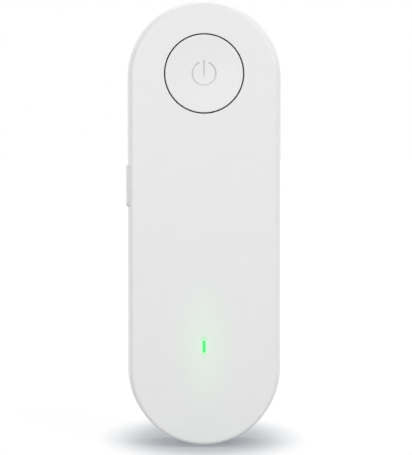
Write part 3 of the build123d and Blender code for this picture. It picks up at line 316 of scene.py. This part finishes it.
# The choke's turns are enamelled copper wire, wound side by side in the groove of the drum.
turn_wire = 0.18 * MM  # half the wire's thickness
turn_circle = 2.9 * MM
turn_first = 7.2 * MM
turn_count = 13
turn_pitch = 0.36 * MM
wire_sides = 10
turn_steps = 40


def keep(mesh, name, finish, body="casing"):
    """Turns a finished bmesh into a piece that moves with a body."""
    merge_distance = 0.0002 * MM
    crease = math.radians(35)
    bmesh.ops.remove_doubles(mesh, verts=mesh.verts, dist=merge_distance)
    bmesh.ops.recalc_face_normals(mesh, faces=mesh.faces)
    data = bpy.data.meshes.new(name)
    mesh.to_mesh(data)
    mesh.free()
    data.shade_smooth()
    data.set_sharp_from_angle(angle=crease)
    data.materials.append(finish.material)
    piece = bpy.data.objects.new(name, data)
    bpy.context.scene.collection.objects.link(piece)
    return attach(piece, body)


def edges_at(points):
    """Every edge that meets the points, once each and always in the same order."""
    return list(dict.fromkeys(edge for point in points for edge in point.link_edges))


enamel = metal("enamelled_copper", (0.56, 0.20, 0.07), 0.30, streak_size=0.5 * MM)
drum = middle_of("line_choke")
coil = bmesh.new()
for turn in range(turn_count):
    section = bmesh.ops.create_circle(coil, radius=turn_wire, segments=wire_sides)["verts"]
    start = (drum.x + turn_circle, -turn_first - turn * turn_pitch, drum.z)
    bmesh.ops.translate(coil, verts=section, vec=start)
    bmesh.ops.spin(
        coil, geom=section + edges_at(section), cent=drum, axis=(0, 1, 0), angle=math.tau,
        steps=turn_steps, use_merge=True,
    )
keep(coil, "choke_turns", enamel)
blue = moulded("varistor_blue", (0.03, 0.12, 0.42), 0.34, texture=0.8 * MM, relief=0.02 * MM)
dress(blue, "varistor")
fuse_case = moulded("fuse_brown", (0.16, 0.065, 0.03), 0.38)
dress(fuse_case, "fuse")

# Chips and switches stand on tinned feet, which are the outer 0.9 mm of a piece on both sides.
epoxy_black = (0.028, 0.028, 0.031)
foot_length = 0.9 * MM
tin = (0.50, 0.505, 0.51)
epoxy = moulded("chip_epoxy", epoxy_black, 0.52, texture=0.10 * MM, relief=0.012 * MM)
dress(epoxy, "rectifier")


def footed(node):
    """Dresses a chip in black epoxy with tinned feet."""
    low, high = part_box(node)
    made = moulded(node + "_epoxy", epoxy_black, 0.50, texture=0.10 * MM, relief=0.012 * MM)
    beside = (made.wire.axis(0) - (low.x + high.x) / 2).work("ABSOLUTE")
    foot = beside.work("GREATER_THAN", (high.x - low.x) / 2 - foot_length)
    made.feed("Base Color", foot.tint(rgba(epoxy_black), rgba(tin)))
    made.feed("Metallic", foot)
    dress(made, node)


footed("supply_controller")

# ---------------------------------------------------------------- main board
# Four-layer glass-epoxy board under green solder resist, with the processor and its memory in a
# tinned can below the heat sink and the radio in another can behind the button.
resist_green = (0.010, 0.105, 0.035)
track_green = (0.022, 0.165, 0.055)
track_pitch = 0.55 * MM
track_start = 0.62  # in parts of the pitch
track_length = 1.1 * MM  # tracks begin and end on squares of this size, more than half of them full
bare_share = 0.45
track_height = 0.02 * MM
resist = Finish("main_board_green", Roughness=0.30, IOR=1.55)
wire = resist.wire
squares = wire.put("VectorMath", {0: wire.place(), 1: (track_length,) * 3}, operation="SNAP")
chance = wire.put("TexWhiteNoise", {0: squares})
across = (wire.axis(0) / track_pitch).work("FRACT")
track = across.work("GREATER_THAN", track_start) * chance.work("GREATER_THAN", bare_share)
resist.feed("Base Color", track.tint(rgba(resist_green), rgba(track_green)))
resist.bump(track, track_height)
dress(resist, "main_board")
dress(epoxy, "processor", "memory_chips", "radio_chip", "amplifier_chips", "network_chip")
footed("flash_chip")
footed("network_transformer")
tinned = metal("tinned_steel", tin, 0.46, streaks=(0.15, 1.0, 1.0))
dress(tinned, "processor_fence", "processor_lid", "radio_fence", "radio_lid", "clock_crystal")
dress(tinned, "upper_antennas", "lower_antennas")

# The header stands behind the main board, and its tinned pins come out through the front.
pin_clearance = 0.1 * MM
board_back = -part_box("main_board")[1].y
header = moulded("header_black", black_plastic, 0.50, texture=0.25 * MM)
pin = (header.wire.axis(1) * -1.0).work("GREATER_THAN", board_back + pin_clearance)
header.feed("Base Color", pin.tint(rgba(black_plastic), rgba(tin)))
header.feed("Metallic", pin)
dress(header, "board_header")

# The ceramic capacitors lie in two rows, with a tinned end above and below each body.
ceramic_tan = (0.34, 0.24, 0.15)
ceramic_half = 0.8 * MM
ceramic_end = 0.3 * MM
ceramic = moulded("ceramic_body", ceramic_tan, 0.50, texture=0.2 * MM)
low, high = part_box("ceramic_capacitors")
row_half = (high.z - low.z) / 2 - ceramic_half  # from the middle of both rows to one of them
from_row = (ceramic.wire.axis(2) - (low.z + high.z) / 2).work("ABSOLUTE") - row_half
tinned_end = from_row.work("ABSOLUTE").work("GREATER_THAN", ceramic_half - ceramic_end)
ceramic.feed("Base Color", tinned_end.tint(rgba(ceramic_tan), rgba(tin)))
ceramic.feed("Metallic", tinned_end)
dress(ceramic, "ceramic_capacitors")

# Chip resistors are ceramic chips under black glass, 1.6 mm long, soldered by their tinned ends.
resistor_length = 1.6 * MM
resistor_width = 0.8 * MM
resistor_height = 0.45 * MM
resistor_end = 0.30 * MM
solder_wider = 0.06 * MM
solder_higher = 0.03 * MM
chip_edge = 0.04 * MM
board_face = -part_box("main_board")[0].y
resistor_rows = (  # the height of each row and where its resistors stand across, in millimetres
    (16.0, range(-12, 13, 3)),
    (19.5, range(-12, 13, 3)),
    (-9.0, range(-12, 13, 3)),
    (-29.6, range(-9, 10, 3)),
    (-44.0, (-15, -12, 12, 15)),
    (-52.5, range(-9, 10, 3)),
    (-67.5, range(-12, 13, 3)),
    (-70.8, range(-12, 13, 3)),
)


def chip(mesh, x, z, width, height, length):
    """One small block that lies on the front of the main board, with its edges taken off."""
    size = Matrix.Diagonal((length, height, width, 1))
    place = Matrix.Translation((x, -board_face - height / 2, z))
    block = bmesh.ops.create_cube(mesh, size=1.0, matrix=place @ size)["verts"]
    bmesh.ops.bevel(
        mesh, geom=edges_at(block), offset=chip_edge, segments=1, profile=0.5, affect="EDGES",
        material=-1,
    )


glass = moulded("resistor_glass", (0.020, 0.020, 0.024), 0.30, texture=0.1 * MM)
solder = metal("solder_tin", (0.66, 0.66, 0.64), 0.26, streak_size=0.2 * MM)
bodies = bmesh.new()
ends = bmesh.new()
body_length = resistor_length - 2 * resistor_end
end_width = resistor_width + solder_wider
end_height = resistor_height + solder_higher
for row, columns in resistor_rows:
    for column in columns:
        x = column * MM
        z = row * MM
        chip(bodies, x, z, resistor_width, resistor_height, body_length)
        for side in (-1, 1):
            end_x = x + side * (resistor_length - resistor_end) / 2
            chip(ends, end_x, z, end_width, end_height, resistor_end)
keep(bodies, "resistor_bodies", glass)
keep(ends, "resistor_ends", solder)

# ---------------------------------------------------------------- cooling
# A sawn length of extruded aluminium, screwed down over the processor's can, takes its heat away
# through soft silicone pads.
aluminium = metal("bare_aluminium", (0.66, 0.67, 0.68), 0.34, streaks=(1.0, 1.0, 0.04))
dress(aluminium, "heat_sink")
pad = moulded("heat_pad", (0.20, 0.30, 0.42), 0.75, texture=0.5 * MM, relief=0.03 * MM)
dress(pad, "heat_sink_pad", "processor_pad")

# ---------------------------------------------------------------- network jack
# The socket is a black glass-filled housing in a folded tin-plated shield, with eight gold-flashed
# spring wires. Its opening faces down through the lower end of the casing.
jack = moulded("jack_black", (0.020, 0.020, 0.022), 0.42, texture=0.3 * MM)
dress(jack, "jack_housing")
shield = metal("jack_shield_tin", (0.63, 0.64, 0.64), 0.28, streaks=(1.0, 1.0, 0.08))
dress(shield, "jack_shield")
gilt = metal("contact_gold", (0.80, 0.56, 0.20), 0.22, streaks=(1.0, 1.0, 0.1), streak_size=0.1 * MM)
dress(gilt, "jack_contacts")

# ---------------------------------------------------------------- switches
# Tact switches with moulded bodies, soldered to the main board. Each plunger is a grey moulding
# that moves with the button, key or pin that works it.
switch = moulded("switch_black", (0.026, 0.026, 0.028), 0.46)
dress(switch, "pairing_switch", "reset_switch")
footed("power_switch")
plunger = moulded("plunger_grey", (0.10, 0.10, 0.105), 0.44)
dress(plunger, "power_plunger", "pairing_plunger", "reset_plunger")

# The power switch has a sheet-steel cover over its dome, held by four melted pips of its body.
cover_side = 5.7 * MM
cover_hole = 1.95 * MM
cover_thickness = 0.12 * MM
pip_radius = 0.42 * MM
pip_top_radius = 0.6 * pip_radius
pip_offset = 2.2 * MM  # from the switch's middle, both ways
pip_middle = 1.5 * cover_thickness  # a pip stands on the cover and is as high as the cover is thick
seat = middle_of("power_switch")
seat.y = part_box("power_switch")[0].y
cover = bmesh.new()
hole = bmesh.ops.create_circle(cover, radius=cover_hole, segments=48)["verts"]
rim = bmesh.ops.extrude_edge_only(cover, edges=edges_at(hole))["geom"]
outer = [item for item in rim if isinstance(item, bmesh.types.BMVert)]
for point in outer:
    point.co *= cover_side / 2 / max(abs(point.co.x), abs(point.co.y))
sheet = bmesh.ops.extrude_face_region(cover, geom=cover.faces[:])["geom"]
raised = [item for item in sheet if isinstance(item, bmesh.types.BMVert)]
bmesh.ops.translate(cover, verts=raised, vec=(0, 0, cover_thickness))
stand = Matrix.Translation(seat) @ Matrix.Rotation(math.pi / 2, 4, "X")
bmesh.ops.transform(cover, matrix=stand, verts=cover.verts)
keep(cover, "power_switch_cover", tinned)
pips = bmesh.new()
for side_x in (-1, 1):
    for side_z in (-1, 1):
        at = Matrix.Translation((side_x * pip_offset, side_z * pip_offset, pip_middle))
        bmesh.ops.create_cone(
            pips, cap_ends=True, segments=20, radius1=pip_radius, radius2=pip_top_radius,
            depth=cover_thickness, matrix=stand @ at,
        )
keep(pips, "power_switch_pips", switch)

# ---------------------------------------------------------------- status light
# A clear moulded pipe fills the slot in the front wall and carries the light of the green lamp
# that is soldered to the main board behind it.
lens_dark = (0.02, 0.06, 0.03)
lens_pale = (0.06, 0.12, 0.08)
light_deep = (0.05, 0.69, 0.17)
light_bright = (0.13, 0.86, 0.29)
deep_half = 0.15 * MM  # deepest this near the pipe's middle line, and brightest at its sides
pipe_half = 0.50 * MM
lens = Finish("lit_pipe", Roughness=0.22, IOR=1.49)
toward_side = lens.wire.axis(0).work("ABSOLUTE").within(deep_half, pipe_half)
lens.feed("Base Color", toward_side.tint(rgba(lens_dark), rgba(lens_pale)))
lens.feed("Emission Color", toward_side.tint(rgba(light_deep), rgba(light_bright)))
lens.shader.inputs["Emission Strength"].default_value = 1.0
dress(lens, "light_pipe")
lamp = moulded("lamp_body", (0.72, 0.72, 0.66), 0.30)
dress(lamp, "status_lamp")

# ---------------------------------------------------------------- power button
# A dished white cap with the on-off sign sunk in its face, staked to a dark carrier that slides in
# the sleeve of the front shell. The sign's grooves carry painted shade, a little greyer, and least so
# at the bottom, where light from above would reach into them.
carrier = moulded("carrier_dark", (0.060, 0.060, 0.064), 0.55)
dress(carrier, "button_carrier")
sign_depth = 29.25 * MM  # the face lies beyond this depth and the sign's grooves lie behind it
depth_blend = 0.04 * MM
sign_room = 6.0 * MM  # the sign lies within this distance of the button's middle
room_blend = 0.2 * MM
sign_drop = 4.1 * MM  # from the button's middle to the bottom of the sign
painted_groove_shade = (0.64, 0.645, 0.64)
shade_at_bottom = 0.30
shade_gained = 0.62
button_z = middle_of("button_cap").z
cap = moulded("button_cap_white", casing_white, 0.38)
wire = cap.wire
above = wire.axis(2) - button_z
aside = (wire.axis(0) ** 2.0 + above ** 2.0) ** 0.5
# Painted shade: the sign's grooves are greyed, less and less towards the bottom of the sign.
groove = (wire.axis(1) + sign_depth).within(-depth_blend, depth_blend)
groove = groove * (1.0 - aside.within(sign_room, sign_room + room_blend))
groove = groove * (shade_at_bottom + shade_gained * above.within(-sign_drop, 0.0))
cap.feed("Base Color", groove.tint(cap.mottled, rgba(painted_groove_shade)))
dress(cap, "button_cap")

# ---------------------------------------------------------------- pairing key
# A slim white key slides in a slot of the left wall and stands just proud of it. Its colour is painted
# paler than the casing's, as painted light for the light that the casing's side keeps off it.
# Painted light: the key's colour is paler than the casing's plastic.
key = moulded("pairing_key_painted_pale", (0.88, 0.89, 0.885), 0.40)
dress(key, "pairing_key")

# ---------------------------------------------------------------- screws
# Zinc-plated cross-head screws: four long ones close the casing from behind, and the short ones
# hold the two boards and the heat sink.
zinc = metal("screw_zinc", (0.60, 0.60, 0.57), 0.32, streak_size=0.25 * MM)
dress(zinc, "casing_screws", "main_board_screws", "supply_board_screws", "heat_sink_screws")

# ---------------------------------------------------------------- studio
# A pale floor that keeps the cast shadow and carries a painted one, soft lamps in front, behind and
# at both sides, and a long lens aimed at the middle of the casing. None of it is part of the object.
floor_half = 6.0
floor_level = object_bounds()[0].z
floor_mesh = bmesh.new()
bmesh.ops.create_grid(floor_mesh, x_segments=1, y_segments=1, size=floor_half)
bmesh.ops.translate(floor_mesh, verts=floor_mesh.verts, vec=(0, 0, floor_level))
data = bpy.data.meshes.new("floor")
floor_mesh.to_mesh(data)
floor_mesh.free()
floor = bpy.data.objects.new("floor", data)
bpy.context.scene.collection.objects.link(floor)

# Seen straight or in a reflection, the floor glows: least under the casing, where a painted shadow is
# about twice as long front to back as across and painted a little blue, and fully white far out. On
# other things it only casts the light that it would throw back.
shade_middle = -3.4 * MM
length_behind = 2.03  # in parts of the shade's width
length_before = 1.9
shade_core = 13.0 * MM
shade_end = 37.2 * MM
glow_in_shade = 0.30
glow_gained = 0.445
white_start = 0.14
white_end = 0.42
thrown_back = 0.26
floor_grey = (0.27, 0.27, 0.272)
painted_shadow_blue = (0.88, 0.94, 1.0)
material = bpy.data.materials.new("floor_white")
material.use_nodes = True
tree = material.node_tree
tree.nodes.clear()
wire = Wire(tree)
seen = wire.put("LightPath", output="Is Camera Ray")
looked_at = seen.work("MAXIMUM", wire.put("LightPath", output="Is Glossy Ray"))
radial = wire.put("VectorMath", {0: wire.place()}, output="Value", operation="LENGTH")
far = radial.within(white_start, white_end)
along = wire.axis(1) - shade_middle
along = (along / length_behind).work("MAXIMUM", along / -length_before)
from_shade = (wire.axis(0) ** 2.0 + along ** 2.0) ** 0.5
open_floor = from_shade.within(shade_core, shade_end, "SMOOTHSTEP")
# Painted shadow: the floor's glow is lowest and bluish under the casing, and rises outwards.
near = glow_in_shade + glow_gained * open_floor
glowing = thrown_back + (near + (1.0 - near) * far - thrown_back) * looked_at
bluish = open_floor.tint(rgba(painted_shadow_blue), rgba((1, 1, 1)))
diffuse = wire.put("BsdfDiffuse", {"Color": rgba(floor_grey)})
light = wire.put("Emission", {"Color": bluish, "Strength": glowing})
both = wire.put("AddShader", {0: diffuse, 1: light})
wire.put("OutputMaterial", {0: both})
floor.data.materials.append(material)

# The room lights the object a little. It looks white itself, also in reflections and through the
# clear pipe.
room_light = 0.585
world = bpy.data.worlds.new("studio")
bpy.context.scene.world = world
world.use_nodes = True
tree = world.node_tree
tree.nodes.clear()
wire = Wire(tree)
seen = wire.put("LightPath", output="Is Camera Ray")
looked_at = seen.work("MAXIMUM", wire.put("LightPath", output="Is Glossy Ray"))
looked_at = looked_at.work("MAXIMUM", wire.put("LightPath", output="Is Transmission Ray"))
strength = room_light + (1.0 - room_light) * looked_at
room = wire.put("Background", {"Color": rgba((1, 1, 1)), "Strength": strength})
wire.put("OutputWorld", {0: room})


def soft_lamp(name, place, aim, width, height, power):
    """A rectangular soft box at a place, turned to an aim point."""
    lamp_data = bpy.data.lights.new(name, "AREA")
    lamp_data.shape = "RECTANGLE"
    lamp_data.size = width
    lamp_data.size_y = height
    lamp_data.energy = power
    box = bpy.data.objects.new(name, lamp_data)
    box.location = place
    box.rotation_euler = (Vector(aim) - Vector(place)).to_track_quat("-Z", "Y").to_euler()
    box.visible_camera = False
    bpy.context.scene.collection.objects.link(box)


middle = Vector((0.0, -14.0 * MM, -22.2 * MM))
soft_lamp("key_lamp", (0.42, -0.66, 0.52), middle, 0.45, 0.45, 2.75)
soft_lamp("front_lamp", (-0.22, -0.98, 0.10), middle, 0.6, 0.3, 2.0)
soft_lamp("left_rim_lamp", (-0.70, 0.45, 0.15), middle, 0.4, 0.6, 1.2)
soft_lamp("right_rim_lamp", (0.70, 0.45, 0.15), middle, 0.4, 0.6, 0.8)
soft_lamp("back_lamp", (0.0, 0.45, 0.62), middle, 0.6, 0.3, 1.85)

# The camera stands a little above the middle of the casing, far enough away for a flat view.
distance = 0.9
elevation = math.radians(2.3)
sensor = 36.0
view_height = 149.1 * MM  # what the camera takes in from top to bottom at the object
view_shift = 1.9 / 455  # the casing stands this part of the view's height left of the middle
camera_data = bpy.data.cameras.new("camera")
camera_data.sensor_width = sensor
camera_data.lens = sensor * distance / view_height
camera_data.shift_x = view_shift
camera = bpy.data.objects.new("camera", camera_data)
camera.location = middle + distance * Vector((0, -math.cos(elevation), math.sin(elevation)))
camera.rotation_euler = (math.pi / 2 - elevation, 0, 0)
bpy.context.scene.collection.objects.link(camera)
bpy.context.scene.camera = camera
bpy.context.scene.view_settings.view_transform = "Standard"
